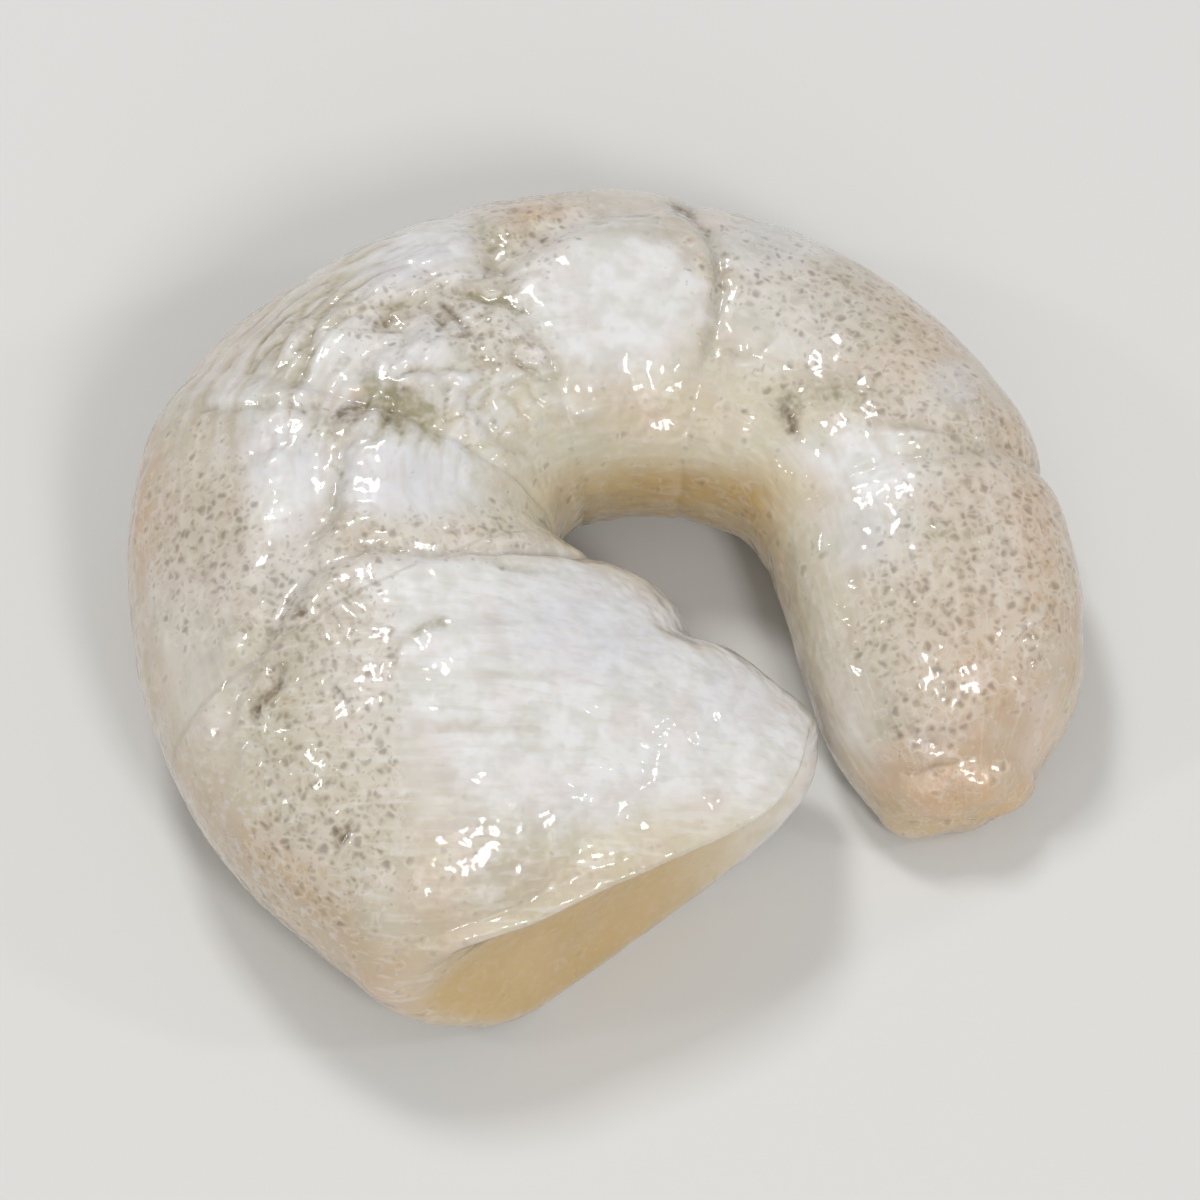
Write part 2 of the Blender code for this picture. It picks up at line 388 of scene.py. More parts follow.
    def skin(self, ring_s: np.ndarray, angle: np.ndarray, shrink: np.ndarray, step: np.ndarray,
             extra: np.ndarray | float = 0.0) -> tuple[np.ndarray, np.ndarray]:
        """Points of the skin.

        Args:
            ring_s: length of each point's ring along the middle line.
            angle: angle round the section, in radians.
            shrink: how far the ring is drawn in towards the middle, 1 for not at all.
            step: how far it is moved on along the body.
            extra: fine relief on top of the plain one.

        Returns:
            The points in the plan of the section table, and s, the length of each point along the body.
        """
        tab = self.table
        s = ring_s + self.cut_shift(ring_s, angle) * shrink ** 1.5
        held = np.clip(s, 0.0, tab["s"][-1])
        turn, outer, inner, half, mx, my = (np.interp(held, tab["s"], tab[n])
                                            for n in ("turn", "outer", "inner", "half", "x", "y"))
        cos, sin = np.cos(angle), np.sin(angle)
        reach = np.where(cos > 0, outer, inner)
        rolled = self.roll[0] * np.clip(1.0 - ring_s / self.roll[1], 0.0, 1.0) ** 2
        rise = self.relief(s, angle, 0.5 * (reach + half)) - rolled * np.maximum(sin, 0.0) + extra
        c = np.sign(cos) * np.abs(cos) ** self.fullness
        q = np.sign(sin) * np.abs(sin) ** self.fullness
        across = (reach + rise) * c * shrink
        up = half - self.sink + (half + rise) * q * shrink
        along = s - held + step
        x = mx + along * np.cos(turn) - across * np.sin(turn)
        y = my + along * np.sin(turn) + across * np.cos(turn)
        return np.stack([x, y, np.maximum(up, 0.0)], axis=1), s

    def facing(self, s: np.ndarray, angle: np.ndarray) -> np.ndarray:
        """How squarely each point's section faces the camera, from -1 to 1."""
        tab = self.table
        held = np.clip(s, 0.0, tab["s"][-1])
        turn, outer, inner, half = (np.interp(held, tab["s"], tab[n]) for n in ("turn", "outer", "inner", "half"))
        cos, sin = np.cos(angle), np.sin(angle)
        side, up = cos / np.where(cos > 0, outer, inner), sin / half
        size = np.hypot(side, up)
        down = math.radians(VIEW_DOWN)
        return (-side * np.cos(turn) * math.cos(down) + up * math.sin(down)) / size

    def ragged(self, angle: np.ndarray) -> np.ndarray:
        """How far the torn edge of the tail stands out."""
        return self.tail_ragged * (0.6 * np.sin(2 * angle + 0.6) + 0.4 * np.sin(5 * angle + 2.0))

    def build(self) -> bpy.types.Object:
        """Make the meat's mesh from a ball whose rings are laid along the body.

        Returns:
            The finished piece.
        """
        self.table = self.line.tables()
        ring_s, ring_shrink, ring_step = self.rings()
        count = len(ring_s)
        bm = bmesh.new()
        bmesh.ops.create_uvsphere(bm, u_segments=self.around, v_segments=count - 1, radius=1.0)
        mesh = bpy.data.meshes.new("peeled_prawn")
        bm.to_mesh(mesh)
        bm.free()
        ball = np.empty(len(mesh.vertices) * 3, np.float32)
        mesh.vertices.foreach_get("co", ball)
        ball = ball.reshape(-1, 3).astype(float)
        ring = np.rint(np.arccos(np.clip(ball[:, 2], -1, 1)) / math.pi * (count - 1)).astype(int)
        azimuth = np.arctan2(ball[:, 1], ball[:, 0])
        azimuth = np.where((ring == 0) | (ring == count - 1), 0.0, azimuth)
        angle = np.mod(azimuth + self.crowd_top * np.cos(azimuth), 2 * math.pi)
        s0, shrink, step = ring_s[ring], ring_shrink[ring], ring_step[ring]
        step = step + np.where(ring >= self.cut_rings + self.body_rings, self.ragged(angle) * shrink, 0.0)
        marks = SurfaceMarks(self, s0, angle, shrink, step)
        points, _ = self.skin(s0, angle, shrink, step, marks.relief)
        points[:, 0] -= PLAN_MIDDLE[0]
        points[:, 1] -= PLAN_MIDDLE[1]
        mesh.vertices.foreach_set("co", (points * MM).astype(np.float32).ravel())
        for tint in Tint:
            layer = mesh.attributes.new(tint.value, "FLOAT", "POINT")
            layer.data.foreach_set("value", np.clip(marks.tints[tint], 0.0, 1.0).astype(np.float32))
        grain = mesh.attributes.new("grain", "FLOAT_VECTOR", "POINT")
        grain.data.foreach_set("vector", marks.grain.astype(np.float32).ravel())
        mesh.update()
        bm = bmesh.new()
        bm.from_mesh(mesh)
        if bm.calc_volume(signed=True) < 0:
            bmesh.ops.reverse_faces(bm, faces=bm.faces[:])
        bm.to_mesh(mesh)
        bm.free()
        mesh.shade_smooth()
        piece = bpy.data.objects.new("peeled_prawn", mesh)
        bpy.context.scene.collection.objects.link(piece)
        return piece


# Ridges, furrows and lines of the shown side, read from the photograph.
FOLD_ROWS: tuple[tuple, ...] = (
    # the slit's torn back on the third segment
    (((591, 555), (596, 554), (601, 552)), 0.3, -0.25, OLIVE_AND_SHADE, 0.6),
    (((600, 557), (603, 558), (607, 557.5)), 0.4, -0.3, STAIN, 0.8),
    (((603, 555.5), (608, 553.5), (612, 553)), 0.25, -0.2, OLIVE_AND_SHADE, 0.6),
    (((607, 557), (611, 555.5), (615, 554)), 0.28, -0.2, STAIN, 0.45),
    (((615, 553), (618, 556), (620, 558), (622, 560.5)), 0.28, -0.35, STAIN, 1.0),
    (((614, 556), (616.5, 559)), 0.25, -0.25, STAIN, 0.8),
    (((619, 560.5), (622, 561)), 0.25, -0.25, STAIN, 0.8),
    (((615, 551.5), (620, 551), (625, 552.5), (630, 552.5), (632, 556)), 0.3, -0.3, OLIVE_AND_SHADE, 0.8),
    (((624, 545), (626, 547)), 0.4, -0.2, STAIN, 0.6), (((628, 546), (630, 547)), 0.4, -0.2, STAIN, 0.5),
    (((616, 549), (619, 549), (622, 548)), 0.4, 0.3, MILK_AND_SHEEN, 0.7),
    (((605, 554), (609, 552), (612, 551)), 0.35, 0.25, MILK_AND_SHEEN, 0.6),
    (((592, 561), (596, 562), (601, 561.5), (606, 561)), 0.45, 0.35, MILK_AND_SHEEN, 0.8),
    (((597, 557), (603, 551), (608, 549)), 0.35, 0.2, MILK_AND_SHEEN, 0.4),
    (((597, 570), (602, 568), (607, 566), (612, 563.5), (616, 562)), 0.8, 0.5, MILK_AND_SHEEN, 1.0),
    (((606, 569), (614, 568.6), (622, 568.2)), 0.22, -0.3, OLIVE_AND_SHADE, 0.5),
    (((603, 571.5), (610, 570.5), (618, 570.5), (625, 570.5)), 0.5, 0.35, MILK_AND_SHEEN, 0.8),
    (((611, 573), (617, 574), (621, 576), (624, 579)), 0.7, 0.35, LAVENDER_AND_GLARE, 0.9),
    # This furrow's dull green is painted shade, the dark grey shadow in a hollow.
    (((600, 565), (599, 568), (597, 570)), 0.35, -0.35, OLIVE_AND_SHADE, 0.5),
    (((587, 560), (587.5, 564), (587, 568), (585, 571)), 0.35, -0.3, OLIVE_AND_SHADE, 0.7),
    (((620, 562), (621, 566), (619, 567)), 0.35, -0.2, OLIVE_AND_SHADE, 0.5),
    (((584, 576), (587, 577), (591, 576.5)), 0.38, -0.4, STAIN, 0.55),
    (((559, 576.5), (568, 577), (576, 576.5), (584, 576)), 0.28, -0.35, OLIVE_AND_SHADE, 0.45),
    (((566, 575), (572, 575), (577, 574)), 0.4, 0.2, MILK_AND_SHEEN, 0.6),
    (((577, 573), (584, 573.5), (590, 574)), 0.5, 0.2, LAVENDER_AND_GLARE, 0.5),
    (((573, 589), (577, 586), (581, 584.5), (584, 585)), 0.32, -0.25, OLIVE_AND_SHADE, 0.35),
    (((577, 583), (580, 581.5), (583, 579)), 0.3, -0.2, OLIVE_AND_SHADE, 0.3),
    (((577, 591), (582, 587), (588, 582)), 0.4, 0.2, MILK_AND_SHEEN, 0.6),
    (((593, 579), (596, 577.5), (599, 576)), 0.45, -0.35, STAIN, 0.8),
    (((593, 575), (596, 573.5), (600, 572.5)), 0.35, 0.3, PEACH_AND_RIM_SHADE, 0.7),
    (((596, 581.5), (599, 580.5), (603, 578.5)), 0.38, 0.35, MILK_AND_SHEEN, 0.9),
    (((602, 573), (605, 574), (608, 576)), 0.6, -0.5, OLIVE_AND_SHADE, 0.7),
    (((603, 574), (606, 574)), 0.3, -0.2, STAIN, 0.5),
    (((604, 577), (605, 580), (609, 582)), 0.35, -0.35, STAIN, 0.5),
    (((610, 575), (614, 578), (613, 581)), 0.4, -0.25, OLIVE_AND_SHADE, 0.5),
    (((594, 586), (597, 584.5), (600, 583.5), (604, 582.5)), 0.32, -0.35, STAIN, 0.55),
    (((594.5, 585), (594.5, 590), (593.5, 595), (592.5, 601)), 0.4, -0.4, OLIVE_AND_SHADE, 0.7),
    (((593, 584), (592, 590), (591.5, 596)), 0.45, 0.15, PEACH_AND_RIM_SHADE, 0.5),
    # painted highlight: a bright glint streak, laid as milky white on a ridge
    (((616, 583), (619, 586), (622, 590)), 0.4, 0.25, MILK_AND_SHEEN, 0.8),
    (((631, 567), (635, 569), (640, 571)), 0.25, -0.22, STAIN, 0.4),
    (((622, 577), (626, 581), (631, 585), (636, 588)), 0.35, -0.25, OLIVE_AND_SHADE, 0.3),
    (((632, 562.5), (636, 564), (639, 565.5)), 0.35, 0.35, PEACH_AND_RIM_SHADE, 0.6),
    # painted highlight: a soft glint streak, laid as milky white on a ridge
    (((641, 575), (645, 577), (649, 577)), 0.35, 0.25, MILK_AND_SHEEN, 0.8),
    (((629, 530), (632, 534), (635, 537), (638, 540)), 0.5, -0.25, STAIN, 0.35),
    (((640, 529), (641, 533)), 0.45, -0.2, STAIN, 0.45),
    (((622, 534), (626, 538), (630, 541)), 0.5, -0.15, OLIVE_AND_SHADE, 0.4),
    (((600, 543), (606, 540), (612, 537)), 0.6, 0.2, MILK_AND_SHEEN, 0.5),
    (((603, 548), (611, 545), (619, 541)), 0.6, 0.25, LAVENDER_AND_GLARE, 0.6),
    # first and second segment
    (((596, 609), (599, 607.5), (602, 606), (607, 607), (613, 608), (620, 608.5)), 0.28, -0.3, STAIN, 0.45),
    (((585, 606), (589, 603.5), (592, 601)), 0.25, -0.25, STAIN, 0.35),
    (((586, 609), (590, 606.5)), 0.22, -0.2, STAIN, 0.35),
    (((616, 604), (619, 602), (621, 605)), 0.22, -0.2, STAIN, 0.35),
    (((625, 601), (627, 604), (630, 603)), 0.22, -0.2, STAIN, 0.4),
    (((626, 608), (630, 610), (634, 611), (641, 611.5)), 0.3, -0.3, OLIVE_AND_SHADE, 0.45),
    (((609, 626), (613, 623.5), (616, 622.5), (619, 623)), 0.45, -0.22, OLIVE_AND_SHADE, 0.75),
    (((579, 631), (582, 633), (582, 636), (580, 638.5), (576.5, 640.5)), 0.38, -0.45, STAIN, 0.75),
    (((577, 640), (576.5, 643.5)), 0.28, -0.35, STAIN, 1.0),
    (((576.5, 645), (573, 652), (570, 659)), 0.35, -0.25, STAIN, 0.2),
    (((579, 640), (582, 638), (584, 640)), 0.4, 0.2, PEACH_AND_RIM_SHADE, 0.6),
    (((585, 619), (588, 621.5)), 0.32, -0.2, STAIN, 0.7),
    (((590, 616), (596, 624)), 0.16, -0.15, STAIN, 0.45),
    (((592.5, 615), (598, 622)), 0.16, 0.15, MILK_AND_SHEEN, 0.5),
    (((595, 614.5), (600, 620.5)), 0.16, -0.15, STAIN, 0.4),
    (((593, 635.5), (595.5, 638), (597, 640.5)), 0.25, -0.2, STAIN, 0.8),
    (((593.5, 665.5), (595, 668), (594.5, 671.5)), 0.25, -0.2, STAIN, 0.85),
    (((597.5, 665), (596, 669)), 0.22, -0.2, STAIN, 0.7),
    (((607.5, 627), (607, 632)), 0.22, -0.15, STAIN, 0.5),
    (((622, 624.3), (632, 624), (642, 624.5)), 0.35, 0.15, MILK_AND_SHEEN, 0.9),
    (((636, 636), (644, 636), (652, 637)), 0.35, 0.12, MILK_AND_SHEEN, 0.8),
    (((620, 633.5), (632, 634), (645, 633)), 0.3, -0.12), (((612, 646), (624, 644), (636, 645)), 0.4, -0.12),
    (((616, 654), (630, 655), (642, 652)), 0.5, 0.15),
    # rim and furrow behind the fourth segment's pad
    (((663, 532), (668, 536), (672, 541), (673.3, 546), (673.6, 552), (672.5, 559), (671, 566)), 0.38, 0.35,
      PEACH_AND_RIM_SHADE, 0.35),
    (((664, 530), (669, 531.5), (672.5, 536), (675, 541), (676.3, 546), (676, 552), (675.4, 558), (675, 564)),
      0.3, -0.3, STAIN, 0.35),
    (((666, 530), (671, 532)), 0.4, -0.2, STAIN, 0.5),
    # fifth and sixth segments
    (((677, 562), (680, 564.5), (684, 564.5), (687.5, 561)), 0.35, -0.3, STAIN, 0.45),
    (((676, 569), (682, 567), (688, 568), (694, 569)), 0.4, 0.2, MILK_AND_SHEEN, 0.3),
    (((690, 575), (690.5, 579), (692, 582)), 0.42, -0.35, STAIN, 0.75),
    (((710, 580), (716, 579.5), (723, 580.5), (731, 581)), 0.3, -0.35, STAIN, 0.3),
    # painted highlight: the glint streak above the crease, laid as milky white on a ridge
    (((714, 583), (718, 582.3), (723, 582.5)), 0.3, 0.25, MILK_AND_SHEEN, 0.8),
    (((710, 583), (712, 586), (718, 586)), 0.28, -0.25, STAIN, 0.3),
    (((712, 647.5), (716, 646), (719, 647.5), (723, 649), (729, 649)), 0.28, -0.25, STAIN, 0.5),
    (((737, 628), (741, 624), (746, 620)), 0.22, 0.2, MILK_AND_SHEEN, 0.6),
    (((740, 631), (745, 627)), 0.22, 0.15, MILK_AND_SHEEN, 0.4),
    (((737, 604), (739.5, 607.5)), 0.25, -0.2, STAIN, 0.7),
    (((722, 631), (724, 636), (725, 640)), 0.25, -0.15, STAIN, 0.5),
)
FOLDS = tuple(Fold(*row) for row in FOLD_ROWS)

# Single dark specks that stand out, by pixel of the photograph.
DARK_SPECKS: Points = (
    (605.5, 653.7), (601.5, 647), (598, 642.5), (591.5, 631.5), (602, 624.5), (588, 626), (582, 625), (600, 671.5),
    (590, 679), (584, 670), (600, 677), (590, 657), (558, 621), (564.5, 609.5), (565.5, 613.5), (568.5, 615.5),
    (626.5, 560.5), (628, 567.5), (624.5, 566), (632.5, 567), (623.5, 580), (627, 579.5), (637.5, 539.5),
    (674, 536.5), (677.5, 542), (678.5, 545.5), (681, 547.5), (695, 567), (701.5, 561), (704.5, 563.5),
    (714.7, 574), (712.5, 572.5), (720.3, 576.5), (720.3, 615.3), (722, 617.8), (725.5, 617.8), (717, 617.5),
    (712.5, 623.5), (727.5, 640.5), (714, 647), (735.5, 658), (732, 600.5), (583, 601), (617, 606.5),
    (629.5, 610.5), (608, 573), (587, 620.5),
)

# Small wet beads that catch the light, by pixel of the photograph.
GLINTS: Points = (
    (567.5, 621.5), (571, 627.5), (575, 629.5), (591.5, 606), (591.5, 623), (607.5, 574.5), (607.5, 578.5),
    (637, 564.3), (668.8, 560.6), (665.5, 562.5), (646, 577), (635.5, 582), (652, 630), (658.5, 655), (632, 660.5),
    (705.5, 627.5), (742.5, 640), (743.5, 644.5), (735, 656.5), (715.5, 660), (694, 578.6), (727, 576.3),
    (683.5, 567), (606, 633.5), (604, 640), (596.5, 651), (672, 543), (617, 538), (726, 612), (743.5, 618.5),
    (594, 653), (671, 643.5),
)

# Looks of the shown side, read from the photograph: the places of each look as the fields of a patch.
PATCH_ROWS: dict[Tint, tuple[tuple, ...]] = {
    MILK_AND_SHEEN: (
        ((650, 640), (47, 27), -8, 1.0, 0.25, 0.15), ((624, 618), (24, 11), 0, 0.9, 0.25, 0.25),
        ((610, 612), (14, 5), 0, 0.6, 0.4, 0.4), ((685, 650), (20, 14), -15, 0.7, 0.3, 0.15),
        # The first oval below is painted highlight, a bluish-white glare.
        ((609, 593), (16, 9), -5, 0.9, 0.3, 0.3), ((583, 591), (9, 14), 0, 0.85, 0.3, 0.35),
        ((584, 610), (9, 10), 0, 0.45, 0.4, 0.6), ((614, 541), (13, 7), 28, 0.9, 0.35, 0.4),
        ((652, 552), (20, 17), 0, 1.0, 0.25, 0.3), ((592, 567), (6, 8), 0, 0.8, 0.4, 0.5),
        ((606, 566), (10, 5), 25, 0.6, 0.4, 0.4), ((687, 541), (12, 7), -10, 0.6, 0.4, 0.5),
        ((690, 557), (14, 9), -15, 0.6, 0.4, 0.7), ((708, 587), (15, 7), -5, 0.9, 0.35, 0.4),
        ((709, 600), (11, 12), 0, 0.5, 0.4, 0.4), ((562, 633), (10, 20), 15, 0.25, 0.6, 0.3),
    ),
    LAVENDER_AND_GLARE: (
        ((647, 624), (18, 10), -12, 1.0, 0.5, 0.2), ((680, 638), (10, 8), 0, 0.6, 0.5, 0.2),
        # The first oval below is painted highlight, the same bluish-white glare.
        ((608, 592), (12, 8), 0, 0.9, 0.5, 0.3), ((583, 586), (9, 9), 0, 0.7, 0.5, 0.3),
        ((583, 613), (9, 8), 0, 0.5, 0.5, 0.5), ((609, 546), (9, 4), 20, 0.8, 0.5, 0.3),
        ((614, 562), (6, 4), 15, 0.8, 0.5, 0.3), ((686, 539), (9, 5), 0, 0.8, 0.5, 0.4),
        # The second oval below is painted highlight, a small light-blue reflection.
        ((709, 603), (8, 7), 0, 0.7, 0.5, 0.3), ((727, 571), (5, 6), 0, 0.9, 0.4, 0.3),
    ),
    CLEAR: (
        # Many of these lie in the shaded inside of the curl and on the low parts, where they are painted warm glow
        # as well as clearer meat.
        ((655, 588), (42, 15), 0, 0.9, 0.6, 0.3), ((640, 577), (26, 8), -10, 0.5, 0.6, 0.5),
        ((680, 577), (18, 14), 0, 0.8, 0.6, 0.3), ((696, 617), (9, 34), 5, 0.55, 0.6, 0.3),
        ((568, 652), (14, 28), 30, 0.55, 0.6, 0.3), ((596, 660), (18, 22), 30, 0.5, 0.6, 0.4),
        ((609, 686), (20, 13), -30, 0.35, 0.6, 0.3), ((648, 668), (26, 5), 8, 0.6, 0.6, 0.3),
        ((563, 584), (11, 7), 30, 0.45, 0.6, 0.4), ((590, 546), (14, 7), 40, 0.55, 0.6, 0.4),
    ),
    OLIVE_AND_SHADE: (
        ((582, 649), (6, 8), 0, 0.3, 0.7, 0.4), ((586, 630), (8, 8), 0, 0.35, 0.7, 0.5),
        ((608, 577), (9, 6), 0, 0.45, 0.6, 0.4), ((701, 573), (9, 4), 0, 0.5, 0.6, 0.5),
        ((676, 565), (5, 8), 0, 0.35, 0.7, 0.4), ((628, 540), (5, 5), 0, 0.25, 0.7, 0.5),
        ((715, 638), (10, 10), 0, 0.2, 0.7, 0.5), ((583, 565), (8, 9), 0, 0.22, 0.7, 0.5),
    ),
    SPECK: (
        ((594, 640), (16, 30), 0, 1.1, 0.4, 0.3), ((593, 672), (14, 14), 20, 0.55, 0.6, 0.4),
        ((566, 605), (13, 17), 0, 0.75, 0.5, 0.4), ((583, 617), (10, 10), 0, 0.55, 0.5, 0.5),
        ((623, 604), (12, 5), 0, 0.75, 0.5, 0.4), ((604, 603), (8, 4), 0, 0.6, 0.5, 0.4),
        ((611, 556), (20, 7), 10, 0.6, 0.5, 0.5), ((628, 562), (10, 6), -20, 0.7, 0.5, 0.5),
        ((634, 535), (12, 9), -20, 0.7, 0.5, 0.4), ((588, 580), (8, 5), 0, 0.45, 0.5, 0.4),
        ((690, 548), (18, 10), -20, 0.55, 0.6, 0.5), ((712, 560), (14, 16), -45, 0.75, 0.5, 0.4),
        ((715, 574), (6, 4), 0, 1.0, 0.5, 0.4), ((690, 574), (8, 6), 0, 0.5, 0.6, 0.4),
        ((736, 596), (13, 22), 25, 0.8, 0.5, 0.4), ((722, 622), (12, 26), 0, 1.0, 0.4, 0.3),
        ((741, 615), (8, 18), 0, 0.7, 0.5, 0.4), ((612, 640), (6, 24), 0, -0.6, 0.4, 0.1),
    ),
    STAIN: (
        ((608, 578), (5, 3.5), 0, 0.2, 0.7, 0.5), ((691, 577), (3.5, 5), 0, 0.45, 0.7, 0.5),
        ((597, 579), (5, 3), 15, 0.35, 0.7, 0.5), ((668, 532), (5, 3), -20, 0.3, 0.7, 0.5),
    ),
    PEACH_AND_RIM_SHADE: (
        # Most of these lie along the outline and at the tail's end, where they are painted warm rim shade as well as
        # pinkish meat.
        ((635, 532), (8, 6), 0, 0.75, 0.6, 0.4), ((551, 598), (5, 16), 0, 0.6, 0.6, 0.2),
        ((583, 679), (12, 8), -35, 0.7, 0.6, 0.3), ((600, 698), (12, 6), -35, 0.7, 0.6, 0.3),
        ((615, 683), (6, 14), 0, 0.35, 0.7, 0.2), ((570, 560), (12, 5), 45, 0.55, 0.6, 0.3),
        ((722, 557), (14, 5), -45, 0.6, 0.6, 0.3), ((746, 603), (6, 26), 12, 0.75, 0.6, 0.3),
        ((734, 645), (13, 20), 0, 0.6, 0.6, 0.4), ((718, 660), (17, 9), 0, 0.75, 0.6, 0.3),
        ((728, 618), (16, 30), 0, 0.35, 0.7, 0.3), ((562, 600), (12, 14), 0, 0.25, 0.7, 0.3),
        ((662, 578), (12, 6), 0, 0.35, 0.7, 0.3), ((716, 566), (7, 6), 0, 0.35, 0.7, 0.3),
    ),
    TAN: (
        # All three are painted warm shade: the shadow over the tail's end and the shade along the inside of the
        # curl.
        ((736, 668), (14, 8), 0, 0.45, 0.7, 0.4), ((668, 594), (20, 5), 0, 0.6, 0.7, 0.2),
        ((684, 600), (5, 8), 0, 0.4, 0.7, 0.2),
    ),
}
PATCHES = tuple(Patch(tint, *row) for tint, rows in PATCH_ROWS.items() for row in rows)


# Where the slit's back is torn, in its look and in its relief: middle and reach in pixels of the photograph.
TORN_LOOK: Points = ((603, 568), (46, 30))
TORN_RELIEF: Points = ((608, 562), (40, 24))
# Pixels across between which the cut's painted warm shade turns from the lobe's cream to tan, and how far its
# clearer, partly shaded edge reaches in mm.
CREAM_TO_WARM_SHADE = (692.0, 656.0)
EDGE_REACH = 1.5


class SurfaceMarks:
    """The fine relief and the looks of each point of the skin.

    Widths and heights are millimetres, and the strengths of looks are shares from 0 to 1.
    """

    def __init__(self, meat: PrawnMeat, ring_s: np.ndarray, angle: np.ndarray, shrink: np.ndarray,
                 step: np.ndarray) -> None:
        """Work out the relief and the looks.

        Args:
            meat: the prawn.
            ring_s: length of each point's ring along the middle line.
            angle: angle of each point round the section.
            shrink: how far its ring is drawn in.
            step: how far it is moved on along the body.
        """
        self.meat, self.angle, self.shrink = meat, angle, shrink
        self.plain, self.s = meat.skin(ring_s, angle, shrink, step)
        top = np.where(np.sin(angle) < 0, 2 * math.pi - angle, angle)
        upper, _ = meat.skin(ring_s, top, shrink, step)
        down = math.radians(VIEW_DOWN)
        self.px = ORIGIN_PX[0] + upper[:, 0] / PIXEL
        self.py = ORIGIN_PX[1] - (upper[:, 1] * math.sin(down) + upper[:, 2] * math.cos(down)) / PIXEL
        self.body = smooth(shrink, 0.90, 0.99)
        self.rim_gap = ring_s + 12.0 * (1.0 - shrink)
        deep = 0.42 + 0.40 * smooth(np.sin(angle), 0.3, -0.3)
        self.cut = np.where(ring_s < 1.0, smooth(shrink, 0.98, deep), 0.0)
        self.seen = smooth(meat.facing(self.s, angle), 0.0, 0.25) * self.body
        straight = np.stack([self.s, 8.0 * np.cos(angle) * shrink, 8.0 * np.sin(angle) * shrink], axis=1)
        block = (self.s < 17.0)[:, None]
        self.grain = np.where(block, self.plain, straight)
        self.edge_noise = (0.6 * lattice_noise(self.plain / 2.6, 1) + 0.5 * lattice_noise(self.plain / 1.1, 2)
                           + 0.45 * lattice_noise(self.grain * (0.28, 1.6, 1.6), 3))
        self.tints = {tint: np.zeros(len(angle)) for tint in Tint}
        self.relief = np.zeros(len(angle))
        self.paint_patches()
        self.raise_folds()
        self.paint_rims()
        self.raise_lumps()

    def cloud(self, size: float, seed: int) -> np.ndarray:
        """Smooth noise on the skin with lumps of a size in millimetres."""
        return lattice_noise(self.plain / size, seed)

    def strands(self) -> np.ndarray:
        """How far each point is from the strands of torn meat, which run along the fibres."""
        return np.abs(lattice_noise(self.grain * (0.30, 1.0, 1.0), 71))

    def torn(self, place: Points, soft: float) -> np.ndarray:
        """How torn the slit's back is round a place with its reach, from 0 to 1 within the soft share of it."""
        (x, y), (reach_x, reach_y) = place
        return smooth(np.hypot((self.px - x) / reach_x, (self.py - y) / reach_y), 1.2, soft)

    def crease_marks(self) -> Iterator[tuple[np.ndarray, np.ndarray]]:
        """The uneven distance past each crease, and its depth, in millimetres."""
        for crease in self.meat.creases:
            gap = self.meat.crease_gap(crease, self.s, self.angle) + 0.4 * self.cloud(2.2, 41)
            yield gap, self.meat.crease_depth(crease, self.angle)

    def paint_patches(self) -> None:
        """Give every point the looks of the patches that it is in."""
        for patch in PATCHES:
            a = math.radians(patch.turn)
            dx, dy = self.px - patch.centre[0], patch.centre[1] - self.py
            along = (dx * math.cos(a) + dy * math.sin(a)) / patch.reach[0]
            across = (dy * math.cos(a) - dx * math.sin(a)) / patch.reach[1]
            level = 1.0 - np.hypot(along, across) + 0.8 * patch.rough * self.edge_noise
            self.tints[patch.tint] += patch.strength * smooth(level, -1.5 * patch.edge, 1.5 * patch.edge)
        self.tints[SPECK] = 1.15 * self.tints[SPECK] + 0.14 - 0.16 * np.clip(self.tints[MILK_AND_SHEEN], 0, 1)

    def path_distance(self, path: Points) -> tuple[np.ndarray, np.ndarray]:
        """Distance from each point to a path in the photograph.

        Args:
            path: the path's points in pixels.

        Returns:
            Distance in millimetres, and place along the path from 0 to 1.
        """
        best = np.full(len(self.px), 1e9)
        place = np.zeros(len(self.px))
        for k, (a, b) in enumerate(zip(path[:-1], path[1:])):
            step = np.array(b, float) - np.array(a, float)
            t = np.clip(((self.px - a[0]) * step[0] + (self.py - a[1]) * step[1]) / (step @ step), 0.0, 1.0)
            d = np.hypot(self.px - a[0] - t * step[0], self.py - a[1] - t * step[1])
            place = np.where(d < best, (k + t) / (len(path) - 1), place)
            best = np.minimum(best, d)
        return best * PIXEL, place

    def raise_folds(self) -> None:
        """Shape and tint the folds, specks and beads."""
        wobble = self.cloud(1.2, 51)
        uneven = 1.0 + 0.5 * self.cloud(0.8, 52)
        for fold in FOLDS:
            distance, place = self.path_distance(fold.path)
            distance = np.abs(distance + 0.10 * wobble)
            taper = self.seen * uneven * (0.45 + 0.55 * smooth(place, 0.0, 0.25) * smooth(place, 1.0, 0.75))
            line = bump(distance, fold.width)
            self.relief += 0.65 * fold.height * line * taper
            self.tints[fold.tint] += 0.72 * fold.strength * line * taper
            # Painted shade: furrows lose some of their milky white and look darker.
            if fold.tint is not MILK_AND_SHEEN and fold.height < 0:
                self.tints[MILK_AND_SHEEN] *= 1.0 - 0.5 * line * self.seen
        for x, y in DARK_SPECKS:
            spot = bump(np.hypot(self.px - x, self.py - y) * PIXEL, 0.22) * self.seen
            self.tints[STAIN] += 0.60 * spot
            self.relief -= 0.04 * spot
        for x, y in GLINTS:
            self.relief += 0.09 * bump(np.hypot(self.px - x, self.py - y) * PIXEL, 0.48) * self.seen

    def paint_rims(self) -> None:
        """Tint the creases, thin rims, cut and underside, much of it painted shade and painted warm glow."""
        tints = self.tints
        side, up = np.cos(self.angle), np.sin(self.angle)
        under = smooth(up, 0.30, -0.35)
        torn = self.torn(TORN_LOOK, 0.6)
